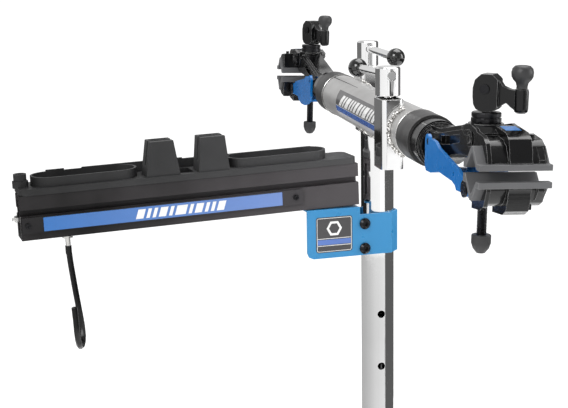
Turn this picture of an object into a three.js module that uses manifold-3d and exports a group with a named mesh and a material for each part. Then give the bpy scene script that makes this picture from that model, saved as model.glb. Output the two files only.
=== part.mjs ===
// Double-arm bike repair stand: base, telescoping post, cross tube, two clamps and a swinging tool tray.
// Millimetres, +Z up. Origin on the floor, on the post's axis. The cross tube runs along Y,
// the first clamp points to -Y and the tool tray reaches out to -X.
import * as THREE from 'three';
import { mergeVertices } from 'three/addons/utils/BufferGeometryUtils.js';
import Module from 'manifold-3d';

const wasm = await Module();
wasm.setup();

// ---------------------------------------------------------------- driving dimensions
const GAP = 0.35;                 // clearance between pieces that touch
const RUN = 0.5;                  // radial clearance of turning and sliding pieces
const DEG = Math.PI / 180;

const BASE = { length: 889, width: 660, thick: 12.7, corner: 40 };
const FLANGE = { side: 152, thick: 12.7, boltSpacing: 114, boltR: 6, headR: 10.5, headH: 8 };
const SLEEVE = { wall: 5.9, aboveBolt: 107, slotBelow: 23, slotAbove: 72 };
const POST = { outerR: 25.4, wall: 3, belowBolt: 303 };
const HOLES = { r: 6, pitch: 84.6, top: 313.6, count: 5 };
const HEIGHT_BOLT = { r: 5.6, headR: 10, headH: 8, nutH: 9, washerR: 14, washerH: 2.4, tail: 4 };

const AXIS_Z = 1475;              // height of the cross tube's axis
const TUBE = { outerR: 34.3, wall: 3.3, half: 247 };
const BUSH = { proud: 0.9, length: 60, spigot: 26 };
const SHAFT = { r: 24, inside: 127, hubR: 27, collarR: 32, hubEnd: 103, collarEnd: 98 };
const HOUSING = { x: 29.5, fromEnd: 60, width: 33, depth: 50, wall: 3, corner: 8, top: 45, bottom: -53 };
const LOCK = { headR: 17.8, headLow: 48.5, headH: 41, shankR: 5.5, barR: 6.35, ballR: 14.2, x: 30.5 };
const HANDLES = {
  near: { lift: 0, reach: 122, swing: 7 },
  far: { lift: 7, reach: 184, swing: 0 },
};

// the clamps' distances are measured out from the end of the cross tube
const CLAMP_ROLL = 1.8;           // resting turn of both clamps about the cross tube, degrees
const LEVER_TURN = { near: -35, far: 116 };   // where each cam lever points at rest, degrees
const ROD = { out: 278, r: 5.6, low: -85.5, top: 94 };
const CAP = { r: 11.8, top: -80.5, height: 23.5 };
const JAW = { left: -38, right: 48, lipFront: 375, lipBack: 317, seam: 4.5, gap: 13, pad: 7, notch: 31 };
const SADDLE = { left: -2, right: 25, crown: 47, scoopR: 14 };
const STUDS = { r: 2.9, back: [33.5, 343, 30, 43.5], front: [39.5, 364, 16, 18] };
const PIVOT = { hubOut: 138, hubZ: 11, jawOut: 303, jawZ: -21, r: 4.5, cheek: 30, plate: 4, bossR: 10.2 };
const CAM = { pinZ: 93, pinR: 4.2, width: 22, slot: 15 };
const WASHER = { r: 18, low: 53.3, height: 12.6 };
const KNOB = { x: 41, low: 95 };

const TRAY_YAW = 8.3;             // degrees that the tray stands towards the first clamp
const TRAY_DROOP = 1.7;           // degrees that the beam sags at its outer end
const BEAM = { clear: 14.6, length: 514, height: 64, depth: 40, top: -71.5 };
const SLOT = { width: 9, depth: 11, fromTop: 24.5, web: 4 };
const BRACKET = { low: -215, high: -139, postHigh: -151, reach: 86, thick: 3, corner: 10, tab: 13.5 };
const BRACKET_CLEAR = 7.1;        // post's side to the bracket's bolts
const BRACKET_BOLTS = { z: [-165.7, -204.4], r: 4.8, headR: 8.7, headH: 5 };
// along the beam, distances are measured from its end beside the post
const STRIP = { left: -513, right: -91.5, low: -30.5, high: -53.5, thick: 3.4, screwIn: 11.5, recess: 0.6 };
const TRAY = { left: -513, right: -1.5, lip: 9.4, wall: 13.5, back: 36, over: 1.5, skin: 3.4, floor: 3 };
const BOWLS = { inset: 6, spans: [[-492, -336], [-198, -42]] };
const BACK_WALL = { left: -465, right: -55, steps: [[-465, -438, 2.2], [-412, -260, 1.6]] };
const TRAY_BOSS = { x: -507, y: 2, r: 11.5, topR: 9.4, boreR: 6, shoulder: 9, height: 19 };
const WELL = { x: -265, y: 5, width: 22, depth: 40, corner: 5 };
const UPRIGHTS = [{ x: -303, base: 26, top: 17.5 }, { x: -226, base: 24, top: 18.5 }];
const UPRIGHT_HEIGHT = 51;
const HOOK = { x: -446, y: -4, stemR: 3.6, coatR: 4.4, nutR: 8.2 };

// ---------------------------------------------------------------- sizes that follow from the others
const lowestHole = AXIS_Z - HOLES.top - (HOLES.count - 1) * HOLES.pitch;
const postBottom = lowestHole - POST.belowBolt;
const sleeveR = POST.outerR + RUN + SLEEVE.wall;
const sleeveTop = lowestHole + SLEEVE.aboveBolt;
const bushR = TUBE.outerR + BUSH.proud;
const housingY = TUBE.half - HOUSING.fromEnd;
const beamNear = POST.outerR + BEAM.clear;
const beamFront = POST.outerR - 0.2;
const boltX = -POST.outerR - BRACKET_CLEAR;
const bracketLeft = -beamNear - BRACKET.reach;

// ---------------------------------------------------------------- helpers
function solid(geometry) {
  const bare = geometry.index ? geometry.toNonIndexed() : geometry.clone();
  bare.deleteAttribute('normal');
  bare.deleteAttribute('uv');
  const merged = mergeVertices(bare, 1e-4);
  return new wasm.Manifold(new wasm.Mesh({
    numProp: 3,
    vertProperties: new Float32Array(merged.attributes.position.array),
    triVerts: new Uint32Array(merged.index.array),
  }));
}

function geometryOf(manifold) {
  const mesh = manifold.getMesh();
  const geometry = new THREE.BufferGeometry();
  geometry.setAttribute('position', new THREE.BufferAttribute(mesh.vertProperties, 3));
  geometry.setIndex(new THREE.BufferAttribute(mesh.triVerts, 1));
  geometry.computeVertexNormals();
  return geometry;
}

const join = (...parts) => parts.reduce((a, b) => a.add(b));
const cut = (body, ...tools) => tools.reduce((a, b) => a.subtract(b), body);

function outline(points, holes = []) {
  const shape = new THREE.Shape(points.map(([x, y]) => new THREE.Vector2(x, y)));
  for (const hole of holes) shape.holes.push(new THREE.Path(hole.map(([x, y]) => new THREE.Vector2(x, y))));
  return shape;
}

function roundRect(width, height, radius, cx = 0, cy = 0, steps = 4) {
  const points = [];
  const corners = [[1, 1, 0], [-1, 1, 90], [-1, -1, 180], [1, -1, 270]];
  for (const [sx, sy, start] of corners) {
    for (let i = 0; i <= steps; i += 1) {
      const angle = (start + (90 * i) / steps) * DEG;
      points.push([
        cx + sx * (width / 2 - radius) + radius * Math.cos(angle),
        cy + sy * (height / 2 - radius) + radius * Math.sin(angle),
      ]);
    }
  }
  return points;
}

function raw(shape, depth) {
  return new THREE.ExtrudeGeometry(shape, { depth, bevelEnabled: false, curveSegments: 12 });
}

// outline in (x, y), from z0 up to z1
function prismZ(points, z0, z1, holes) {
  return solid(raw(outline(points, holes), z1 - z0).translate(0, 0, z0));
}

// outline in (y, z), from x0 to x1
function prismX(points, x0, x1, holes) {
  const turn = new THREE.Matrix4().makeBasis(
    new THREE.Vector3(0, 1, 0), new THREE.Vector3(0, 0, 1), new THREE.Vector3(1, 0, 0));
  return solid(raw(outline(points, holes), x1 - x0).applyMatrix4(turn).translate(x0, 0, 0));
}

// outline in (x, z), from y0 to y1
function prismY(points, y0, y1, holes) {
  const turn = new THREE.Matrix4().makeBasis(
    new THREE.Vector3(1, 0, 0), new THREE.Vector3(0, 0, 1), new THREE.Vector3(0, -1, 0));
  return solid(raw(outline(points, holes), y1 - y0).applyMatrix4(turn).translate(0, y1, 0));
}

function box(x0, x1, y0, y1, z0, z1) {
  const geometry = new THREE.BoxGeometry(x1 - x0, y1 - y0, z1 - z0);
  return solid(geometry.translate((x0 + x1) / 2, (y0 + y1) / 2, (z0 + z1) / 2));
}

// turned about Z from [radius, height] pairs that start and end on the axis
function lathe(profile, segments = 24) {
  const points = profile.map(([r, z]) => new THREE.Vector2(r, z));
  return solid(new THREE.LatheGeometry(points, segments).rotateX(Math.PI / 2));
}

const place = (body, x, y, z) => body.translate([x, y, z]);

function rodZ(r, z0, z1, x = 0, y = 0, segments = 24) {
  return place(lathe([[0, z0], [r, z0], [r, z1], [0, z1]], segments), x, y, 0);
}

function rodY(r, y0, y1, x = 0, z = 0, segments = 24) {
  const bar = solid(new THREE.CylinderGeometry(r, r, y1 - y0, segments));
  return place(bar, x, (y0 + y1) / 2, z);
}

function rodX(r, x0, x1, y = 0, z = 0, segments = 24) {
  const bar = solid(new THREE.CylinderGeometry(r, r, x1 - x0, segments).rotateZ(Math.PI / 2));
  return place(bar, (x0 + x1) / 2, y, z);
}

function hexZ(r, z0, z1, x = 0, y = 0) {
  return rodZ(r, z0, z1, x, y, 6);
}

const FINISH = {
  baseBlack: [0x1c1c1e, 0.55, 0.3],
  chrome: [0xd8dadd, 0.08, 1.0],
  tubeGrey: [0xa4a6a8, 0.35, 0.5],
  steel: [0xb4b6b8, 0.35, 1.0],
  zinc: [0xb9bec2, 0.3, 1.0],
  blackSteel: [0x1b1b1d, 0.35, 0.8],
  collarGrey: [0x35363a, 0.5, 0.1],
  castBlack: [0x121214, 0.25, 0.4],
  gloss: [0x0c0c0d, 0.1, 0.0],
  blue: [0x0a66c8, 0.4, 0.0],
  pad: [0x3a3b40, 0.7, 0.0],
  anodised: [0x1c1b1f, 0.35, 0.7],
  trayPlastic: [0x2c2d30, 0.6, 0.0],
  knobPlastic: [0x2f3033, 0.5, 0.0],
};

function node(name, finish, body) {
  const [color, roughness, metalness] = FINISH[finish];
  const material = new THREE.MeshStandardMaterial({ color, roughness, metalness });
  const mesh = new THREE.Mesh(geometryOf(body), material);
  mesh.name = name;
  return mesh;
}

const stand = new THREE.Group();

// ---------------------------------------------------------------- base and column
function flangeBoltPlaces() {
  const half = FLANGE.boltSpacing / 2;
  return [[half, half], [-half, half], [-half, -half], [half, -half]];
}

function buildBase() {
  const flangeLow = BASE.thick + GAP;
  const flangeHigh = flangeLow + FLANGE.thick;
  const holeR = FLANGE.boltR + GAP;
  let plate = prismZ(roundRect(BASE.width, BASE.length, BASE.corner, 0, 0, 8), 0, BASE.thick);
  let column = join(
    prismZ(roundRect(FLANGE.side, FLANGE.side, 14), flangeLow, flangeHigh),
    rodZ(sleeveR, flangeLow, sleeveTop, 0, 0, 32),
  );
  column = cut(column, rodZ(POST.outerR + RUN, flangeLow - 1, sleeveTop + 1, 0, 0, 32));
  const slotR = HEIGHT_BOLT.r + GAP;
  const slotLow = lowestHole - SLEEVE.slotBelow;
  const slotHigh = lowestHole + SLEEVE.slotAbove;
  const slot = join(
    rodY(slotR, -sleeveR - 1, sleeveR + 1, 0, slotLow),
    rodY(slotR, -sleeveR - 1, sleeveR + 1, 0, slotHigh),
    box(-slotR, slotR, -sleeveR - 1, sleeveR + 1, slotLow, slotHigh),
  );
  column = cut(column, slot);
  flangeBoltPlaces().forEach(([x, y], i) => {
    plate = cut(plate, rodZ(holeR, 3, BASE.thick + 1, x, y, 16));
    column = cut(column, rodZ(holeR, flangeLow - 1, flangeHigh + 1, x, y, 16));
    const bolt = join(
      rodZ(FLANGE.boltR, 4, flangeHigh + GAP + 1, x, y, 16),
      rodZ(FLANGE.headR + 2.5, flangeHigh + GAP, flangeHigh + GAP + 2.2, x, y, 16),
      hexZ(FLANGE.headR, flangeHigh + GAP + 1, flangeHigh + GAP + 2.2 + FLANGE.headH, x, y),
    );
    stand.add(node(`flange_bolt_${i + 1}`, 'zinc', bolt));
  });
  stand.add(node('base_plate', 'baseBlack', plate), node('column_sleeve', 'baseBlack', column));
}

// ---------------------------------------------------------------- post and its height bolt
function buildPost() {
  let post = rodZ(POST.outerR, postBottom, AXIS_Z, 0, 0, 40);
  post = cut(post,
    rodZ(POST.outerR - POST.wall, postBottom - 1, AXIS_Z + 1, 0, 0, 32),
    rodY(TUBE.outerR + GAP, -60, 60, 0, AXIS_Z, 40));
  for (let i = 0; i < HOLES.count; i += 1) {
    post = cut(post, rodY(HOLES.r, -40, 40, 0, lowestHole + i * HOLES.pitch, 12));
  }
  stand.add(node('post', 'chrome', post));
}

function buildHeightBolt() {
  const face = sleeveR + GAP;
  const washer = (y) => rodY(HEIGHT_BOLT.washerR, y, y + HEIGHT_BOLT.washerH, 0, 0, 16);
  const boltHead = face + HEIGHT_BOLT.washerH;
  const tail = face + HEIGHT_BOLT.washerH + HEIGHT_BOLT.nutH + HEIGHT_BOLT.tail;
  const bolt = join(
    rodY(HEIGHT_BOLT.r, -boltHead - 2, tail, 0, 0, 16),
    washer(-boltHead),
    rodY(HEIGHT_BOLT.headR, -boltHead - HEIGHT_BOLT.headH, -boltHead + 0.5, 0, 0, 6),
  );
  const nut = cut(
    join(
      washer(face),
      rodY(HEIGHT_BOLT.headR, face + 1, face + HEIGHT_BOLT.washerH + HEIGHT_BOLT.nutH, 0, 0, 6),
    ),
    rodY(HEIGHT_BOLT.r + GAP, 0, 80, 0, 0, 16),
  );
  stand.add(node('height_bolt', 'zinc', place(bolt, 0, 0, lowestHole)));
  stand.add(node('height_nut', 'zinc', place(nut, 0, 0, lowestHole)));
}

// ---------------------------------------------------------------- cross tube
function housingOutline(x, y, grow = 0) {
  const corner = HOUSING.corner + grow;
  return roundRect(HOUSING.width + 2 * grow, HOUSING.depth + 2 * grow, corner, x, y);
}

function buildCrossTube() {
  let tube = cut(
    rodY(TUBE.outerR, -TUBE.half, TUBE.half, 0, 0, 40),
    rodY(TUBE.outerR - TUBE.wall, -TUBE.half - 1, TUBE.half + 1, 0, 0, 40),
  );
  for (const side of [-1, 1]) {
    tube = cut(tube, prismZ(housingOutline(side * HOUSING.x, side * housingY, GAP), -60, 60));
  }
  stand.add(node('cross_tube', 'tubeGrey', place(tube, 0, 0, AXIS_Z)));
}

function half(side) {
  // the near half is drawn pointing to -Y, the far half is the same turned half a turn
  const group = new THREE.Group();
  group.position.z = AXIS_Z;
  group.rotation.z = side === 'near' ? 0 : Math.PI;
  stand.add(group);
  return group;
}

function buildBush(group, side) {
  const start = TUBE.half + GAP;
  const body = join(
    rodY(bushR, -start - BUSH.length, -start, 0, 0, 32),
    rodY(TUBE.outerR - TUBE.wall - GAP, -start - 1, -start + BUSH.spigot, 0, 0, 40),
  );
  const bored = cut(body, rodY(SHAFT.r + RUN, -start - BUSH.length - 1, -start + BUSH.spigot + 1, 0, 0, 40));
  group.add(node(`${side}_end_bushing`, 'collarGrey', bored));
}

function buildHousing(group, side) {
  const x = -HOUSING.x;
  const y = -housingY;
  const inner = roundRect(
    HOUSING.width - 2 * HOUSING.wall, HOUSING.depth - 2 * HOUSING.wall, HOUSING.corner - HOUSING.wall, x, y);
  const shell = cut(
    prismZ(housingOutline(x, y), HOUSING.bottom, HOUSING.top),
    prismZ(inner, HOUSING.bottom - 1, HOUSING.top + 1),
    rodY(SHAFT.r + RUN, -housingY - 40, -housingY + 40, 0, 0, 40),
  );
  group.add(node(`${side}_lock_housing`, 'chrome', shell));
  const shoeWidth = HOUSING.width - 2 * HOUSING.wall - 2 * RUN;
  const shoeDepth = HOUSING.depth - 2 * HOUSING.wall - 2 * RUN;
  const shoe = cut(
    prismZ(roundRect(shoeWidth, shoeDepth, 4, x, y), HOUSING.bottom + 8, HOUSING.top - 10),
    rodY(SHAFT.r + RUN, -housingY - 40, -housingY + 40, 0, 0, 40),
    rodZ(LOCK.shankR + GAP, -80, 80, -LOCK.x, y, 16),
  );
  group.add(node(`${side}_lock_shoe`, 'steel', shoe));
}

function buildHandle(group, side) {
  const { lift, reach, swing } = HANDLES[side];
  const low = LOCK.headLow + lift;
  const high = low + LOCK.headH;
  const barZ = low + LOCK.headH * 0.7;
  const blend = 2;
  const head = join(
    lathe([[0, low], [LOCK.headR - 1, low], [LOCK.headR, low + 1], [LOCK.headR, high - blend],
      [LOCK.headR - blend, high], [0, high]], 32),
    rodZ(LOCK.shankR, HOUSING.bottom + 14, low + 1, 0, 0, 16),
  );
  const hole = rodX(LOCK.barR + GAP, -LOCK.headR - 5, LOCK.headR + 5, 0, barZ, 16);
  const barEnd = reach - LOCK.ballR * 0.55;
  const bar = rodX(LOCK.barR, LOCK.headR - 34, barEnd, 0, barZ, 16);
  const socket = rodX(LOCK.barR + GAP, reach - LOCK.ballR * 1.2, barEnd + GAP, 0, barZ, 16);
  const ball = cut(
    place(solid(new THREE.SphereGeometry(LOCK.ballR, 20, 12)), reach, 0, barZ),
    socket,
  );
  const pivot = new THREE.Group();
  pivot.position.set(-LOCK.x, -housingY, 0);
  pivot.rotation.z = (90 + swing) * DEG;
  pivot.add(
    node(`${side}_lock_screw`, 'chrome', cut(head, hole)),
    node(`${side}_lock_bar`, 'chrome', bar),
    node(`${side}_lock_ball`, 'gloss', ball),
  );
  group.add(pivot);
}

// ---------------------------------------------------------------- clamp
// Drawn pointing to -Y: a profile is a list of [distance from the post, height] pairs.
const out = (points) => points.map(([t, z]) => [-t, z]);

function disc(t, z, r, x0, x1, segments = 20) {
  return rodX(r, x0, x1, -t, z, segments);
}

const mid = (JAW.lipFront + JAW.lipBack) / 2;
const halfGap = JAW.gap / 2;

// the jaw profiles are drawn for the upper jaw as height above the seam, and mirrored for the lower one
function jawProfile(points, up) {
  return out(points.map(([t, h]) => [t, JAW.seam + (up ? h : -h)]));
}

const padOuter = [
  [JAW.lipFront, halfGap + JAW.pad], [mid + 18, halfGap + JAW.pad], [mid + 3, JAW.notch],
  [mid - 3, JAW.notch], [mid - 18, halfGap + JAW.pad], [JAW.lipBack, halfGap + JAW.pad],
];
const padInner = [
  [JAW.lipBack, halfGap - 3], [mid - 21, halfGap - 3], [mid - 2, 23], [mid + 2, 23],
  [mid + 18, halfGap], [JAW.lipFront, halfGap],
];

function buildPad(up) {
  return prismX(jawProfile([...padOuter, ...padInner], up), JAW.left, JAW.right);
}

const lip = halfGap + JAW.pad + GAP;
const archTop = JAW.notch + GAP + 0.2;
const arch = [[mid - 18.6, lip], [mid - 3.4, archTop], [mid + 3.4, archTop], [mid + 18.6, lip]];

// the room that a pad takes up inside its jaw
function padRoom(up) {
  return prismX(jawProfile([[mid - 18.6, -2], ...arch, [mid + 18.6, -2]], up), JAW.left - 10, JAW.right + 10);
}

function jawCasting(up) {
  const shell = (nose, crown, x0, x1) => prismX(jawProfile([
    [JAW.lipBack + 2, lip], ...arch, [nose, lip], [nose, lip + 4], [nose - 9, crown - 6],
    [nose - 20, crown], [JAW.lipBack + 2, crown + 3],
  ], up), x0, x1);
  // the saddle's nose is hollowed by a round scoop between its lip and its crown
  const [scoopOut, scoopZ] = jawProfile([[JAW.lipFront + 9.5, 24]], up)[0];
  const saddle = cut(
    shell(JAW.lipFront - 1, SADDLE.crown, SADDLE.left, SADDLE.right),
    disc(-scoopOut, scoopZ, SADDLE.scoopR, SADDLE.left - 1, SADDLE.right + 1, 32),
  );
  return join(
    shell(JAW.lipFront - 8, 38, -27, 44),
    saddle,
    shell(JAW.lipFront - 4, 35, 33, 41),
    shell(JAW.lipFront - 5, 42, -27, -22),
  );
}

// two cap screws stand on each jaw beside the saddle
function jawScrews(up) {
  const z = (h) => JAW.seam + (up ? h : -h);
  const stud = ([x, t, from, to]) => {
    const ends = [z(from), z(to)].sort((a, b) => a - b);
    return rodZ(STUDS.r, ...ends, x, -t, 16);
  };
  return join(stud(STUDS.back), stud(STUDS.front));
}

function buildArm() {
  const hubStart = -BUSH.length - 2 * GAP - RUN;
  const hub = join(
    rodY(SHAFT.r, -SHAFT.hubEnd, SHAFT.inside, 0, 0, 32),
    rodY(SHAFT.hubR, -SHAFT.hubEnd, hubStart, 0, 0, 40),
    rodY(SHAFT.collarR, -SHAFT.collarEnd + 6, hubStart, 0, 0, 40),
    rodY(SHAFT.collarR - 2.5, -SHAFT.collarEnd, hubStart, 0, 0, 40),
  );
  // the neck's upper edges step in, so it is drawn as a wide low web and a narrow high one
  const neck = (rise, halfWidth) => prismX(out([
    [85, 24 - rise], [105, 27 - rise], [138, 27.5 - rise], [173, 33.5 - rise], [213, 41 - rise],
    [251, 47.5 - rise], [265, 52.4 - rise], [301, 52.4 - rise], [325, 46 - rise], [325, 30 - rise],
    [313, 20], [299, 12.5], [253, 12], [215, 6], [157, -8], [119, -22], [85, -22],
  ]), -halfWidth, halfWidth);
  const ears = join(
    disc(306, 38, 15.5, -26, 26),
    disc(306, 38, 9.5, -28.6, 28.6),
    disc(306, 38, 5.4, -30, 30, 6),
  );
  const rib = (x0, x1) => prismX(out([
    [273, 50], [301, 55], [323, 52], [343, 40], [353, 24],
    [347, 22], [335, 36], [319, 46], [301, 48], [277, 44],
  ]), x0, x1);
  const bridge = prismX(out([
    [258, 45], [277, 52.4], [313, 52.4], [328, 47], [328, 40], [273, 38],
  ]), -24, 16);
  const seat = rodZ(21, 40, 52.9, 0, -ROD.out, 40);
  const flank = out([[163, 22], [193, 26], [239, 34], [239, 24], [193, 15], [163, 11]]);
  return cut(
    join(hub, neck(0, 14), neck(6, 19), ears, bridge, seat, rib(-27, -23), rib(23, 27),
      jawCasting(true), jawScrews(true)),
    padRoom(true),
    rodZ(ROD.r + RUN + 0.3, -30, 80, 0, -ROD.out, 16),
    disc(PIVOT.hubOut, PIVOT.hubZ, PIVOT.r + RUN, -40, 40, 16),
    prismX(flank, -40, -13),
    prismX(flank, 13, 40),
  );
}

// one cheek's outline; the near clamp's cheek on the tray's side is slim, the other has a deep belly
function linkOutline(belly) {
  const points = [];
  const ring = (t, z, r, from, to, steps) => {
    for (let i = 0; i <= steps; i += 1) {
      const a = (from + ((to - from) * i) / steps) * DEG;
      points.push([t + r * Math.cos(a), z + r * Math.sin(a)]);
    }
  };
  ring(PIVOT.hubOut, PIVOT.hubZ, 10, 20, 200, 8);
  points.push([130, -6], [129, -16]);
  ring(139, -17, 9, 190, 260, 4);
  points.push(...belly);
  ring(PIVOT.jawOut, PIVOT.jawZ, 9.5, 225, 420, 8);
  points.push([281, -7], [272, -3], [226, 4], [189, 10], [173, 16], [157, 17]);
  return out(points);
}

function buildLink() {
  const outside = PIVOT.cheek;
  const inside = PIVOT.cheek - PIVOT.plate;
  const slim = [[157, -25], [197, -18], [244, -20], [261, -24], [267, -29]];
  const deep = [[157, -33], [182, -38], [211, -38.5], [236, -34.5], [253, -28], [267, -29]];
  const web = prismX(out([[135, -26.5], [157, -26], [193, -19], [245, -21], [245, -17], [193, -14.5],
    [157, -21], [135, -22.5]]), -outside, outside);
  const body = join(
    prismX(linkOutline(slim), -outside, -inside),
    prismX(linkOutline(deep), inside, outside),
    web,
  );
  return cut(body,
    disc(PIVOT.hubOut, PIVOT.hubZ, PIVOT.r + RUN, -50, 50, 16),
    disc(PIVOT.jawOut, PIVOT.jawZ, PIVOT.r + RUN, -50, 50, 16),
    disc(253, -12, 3, -50, -inside + 5, 16),
    disc(253, -12, 3, inside - 5, 50, 16));
}

// the hub pin ends inside the cheeks' faces, the jaw pin carries a wide stepped boss at each end
function hubPin() {
  const end = PIVOT.cheek - 0.8;
  return disc(PIVOT.hubOut, PIVOT.hubZ, PIVOT.r, -end, end, 16);
}

function jawPin() {
  const face = PIVOT.cheek + GAP;
  const boss = (sign) => {
    const span = (from, to) => (sign < 0 ? [-face - to, -face - from] : [face + from, face + to]);
    return join(
      disc(PIVOT.jawOut, PIVOT.jawZ, PIVOT.bossR, ...span(0, 2.6), 28),
      disc(PIVOT.jawOut, PIVOT.jawZ, PIVOT.bossR - 3.4, ...span(1, 3.3), 20),
    );
  };
  return join(disc(PIVOT.jawOut, PIVOT.jawZ, PIVOT.r, -face - 1, face + 1, 16), boss(-1), boss(1));
}

function buildLowerJaw() {
  const width = PIVOT.cheek - PIVOT.plate - GAP - 0.3;
  const boss = join(
    disc(PIVOT.jawOut, PIVOT.jawZ, 11, -width, width),
    prismX(out([[PIVOT.jawOut - 2, PIVOT.jawZ + 10], [PIVOT.jawOut - 2, PIVOT.jawZ - 11], [321, -36],
      [321, -10], [315, -9]]), -width, width),
    prismX(out([[269, -33], [265, -24], [269, -13.5], [305, -12], [305, -32], [293, -35]]), -16, 16),
  );
  const rodSlot = prismZ(roundRect(2 * ROD.r + 3, 2 * ROD.r + 13, ROD.r + 1.4, 0, -ROD.out - 4), -70, 16);
  return cut(
    join(boss, jawCasting(false), jawScrews(false)),
    padRoom(false),
    rodSlot,
    disc(PIVOT.jawOut, PIVOT.jawZ, PIVOT.r + RUN, -50, 50, 16),
  );
}

// the rod, its cam and the crank are drawn round the rod's axis with the lever's arm to +X, then turned
const atRod = (body, side) => place(body.rotate([0, 0, LEVER_TURN[side]]), 0, -ROD.out, 0);

function buildRod(side) {
  const eye = rodY(9.5, -CAM.slot / 2 + RUN, CAM.slot / 2 - RUN, 0, CAM.pinZ, 32);
  const stem = rodZ(ROD.r, ROD.low, ROD.top);
  const body = cut(join(stem, eye), rodY(CAM.pinR + GAP, -20, 20, 0, CAM.pinZ, 16));
  return atRod(body, side);
}

function buildCap() {
  const { r, top, height } = CAP;
  const bore = ROD.low + GAP + 4;
  const body = lathe([[0, top - height], [r * 0.45, top - height + 1], [r * 0.82, top - height * 0.72],
    [r, top - height * 0.45], [r, top - 1], [r - 1, top], [0, top]], 20);
  return place(cut(body, rodZ(ROD.r + GAP, bore - 4 - 2 * GAP, top + 1, 0, 0, 16)), 0, -ROD.out, 0);
}

// two stacked discs on one sleeve
function buildWasher() {
  const { r, low, height } = WASHER;
  const seam = low + height / 2;
  const ring = cut(
    lathe([[0, low], [r, low], [r, seam - 0.7], [r - 1.6, seam - 0.7], [r - 1.6, seam + 0.7],
      [r - 0.4, seam + 0.7], [r - 0.4, low + height - 1], [r - 1.6, low + height], [0, low + height]], 32),
    rodZ(ROD.r + GAP, low - 1, low + height + 1, 0, 0, 16),
  );
  return place(ring, 0, -ROD.out, 0);
}

// x across, z up
function buildLever(side) {
  const halfW = CAM.width / 2;
  const halfSlot = CAM.slot / 2;
  const armHalf = halfW - 6;
  const cam = prismY([
    [-14.6, 84], [-13.6, 75], [-10.5, 69.6], [-6, 67.4], [0, 66.4], [7, 66.6], [12, 69], [17, 74], [24, 78],
    [30, 73], [36, 69], [36, 93], [28, 94], [20, 97], [13.5, 106], [8, 110.5], [-5, 110.5], [-12.5, 103.5],
    [-14.8, 94],
  ], -halfW, halfW);
  const bossTop = KNOB.low - 0.4;
  const boss = place(lathe([[0, 65.8], [4.6, 66.2], [7.6, 68.2], [8.4, 71.5], [8.4, 91], [7.6, bossTop],
    [0, bossTop]], 20), KNOB.x, 0, 0);
  const arm = cut(cam, box(15, 50, armHalf, 30, 60, 120), box(15, 50, -30, -armHalf, 60, 120));
  const body = cut(arm,
    box(-30, 13, -halfSlot, halfSlot, 60, 86.5),
    rodY(10.3, -halfSlot, halfSlot, 0, CAM.pinZ, 32),
    box(-30, 0, -halfSlot, halfSlot, 80, CAM.pinZ + ROD.r + RUN + 0.4),
    rodY(CAM.pinR + GAP, -30, 30, 0, CAM.pinZ, 16),
  );
  return atRod(cut(join(body, boss), rodZ(3.6, 76, 120, KNOB.x, 0, 16)), side);
}

function buildCamPin(side) {
  const halfW = CAM.width / 2;
  return atRod(join(
    rodY(CAM.pinR, -halfW - 1, halfW + 1, 0, CAM.pinZ, 16),
    rodY(CAM.pinR + 1.6, -halfW - 1.8, -halfW - GAP, 0, CAM.pinZ, 20),
    rodY(CAM.pinR + 1.6, halfW + GAP, halfW + 1.8, 0, CAM.pinZ, 20),
  ), side);
}

function buildKnob(side) {
  const z = KNOB.low;
  const body = lathe([[0, z], [6.6, z], [6.4, z + 3], [7.4, z + 7], [10.6, z + 10.5], [12.6, z + 14],
    [13, z + 19], [12, z + 23.5], [9, z + 26.5], [5.5, z + 27.2], [5, z + 26.4], [0, z + 26.4]], 24);
  return atRod(place(join(body, rodZ(3.2, 78, z + 1, 0, 0, 16)), KNOB.x, 0, 0), side);
}

function buildClamp(group, side) {
  const turned = new THREE.Group();
  turned.position.y = -TUBE.half;
  turned.rotation.y = (side === 'near' ? 1 : -1) * CLAMP_ROLL * DEG;
  group.add(turned);
  turned.add(
    node(`${side}_clamp_arm`, 'castBlack', buildArm()),
    node(`${side}_upper_pad`, 'pad', buildPad(true)),
    node(`${side}_jaw_link`, 'blue', buildLink()),
    node(`${side}_link_pin`, 'blackSteel', hubPin()),
    node(`${side}_jaw_pin`, 'blackSteel', jawPin()),
    node(`${side}_lower_jaw`, 'castBlack', buildLowerJaw()),
    node(`${side}_lower_pad`, 'pad', buildPad(false)),
    node(`${side}_clamp_rod`, 'blackSteel', buildRod(side)),
    node(`${side}_rod_cap`, 'knobPlastic', buildCap()),
    node(`${side}_thrust_washer`, 'blackSteel', buildWasher()),
    node(`${side}_cam_lever`, 'castBlack', buildLever(side)),
    node(`${side}_cam_pin`, 'blackSteel', buildCamPin(side)),
    node(`${side}_crank_knob`, 'knobPlastic', buildKnob(side)),
  );
}

// ---------------------------------------------------------------- tray arm
// Drawn straight out to -X with its front to -Y, then turned to its resting place.
const trayGroup = new THREE.Group();
trayGroup.position.z = AXIS_Z;
trayGroup.rotation.z = TRAY_YAW * DEG;
stand.add(trayGroup);
const sagging = new THREE.Group();
sagging.position.set(-beamNear, 0, BEAM.top - BEAM.height);
sagging.rotation.y = -TRAY_DROOP * DEG;
trayGroup.add(sagging);

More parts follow.
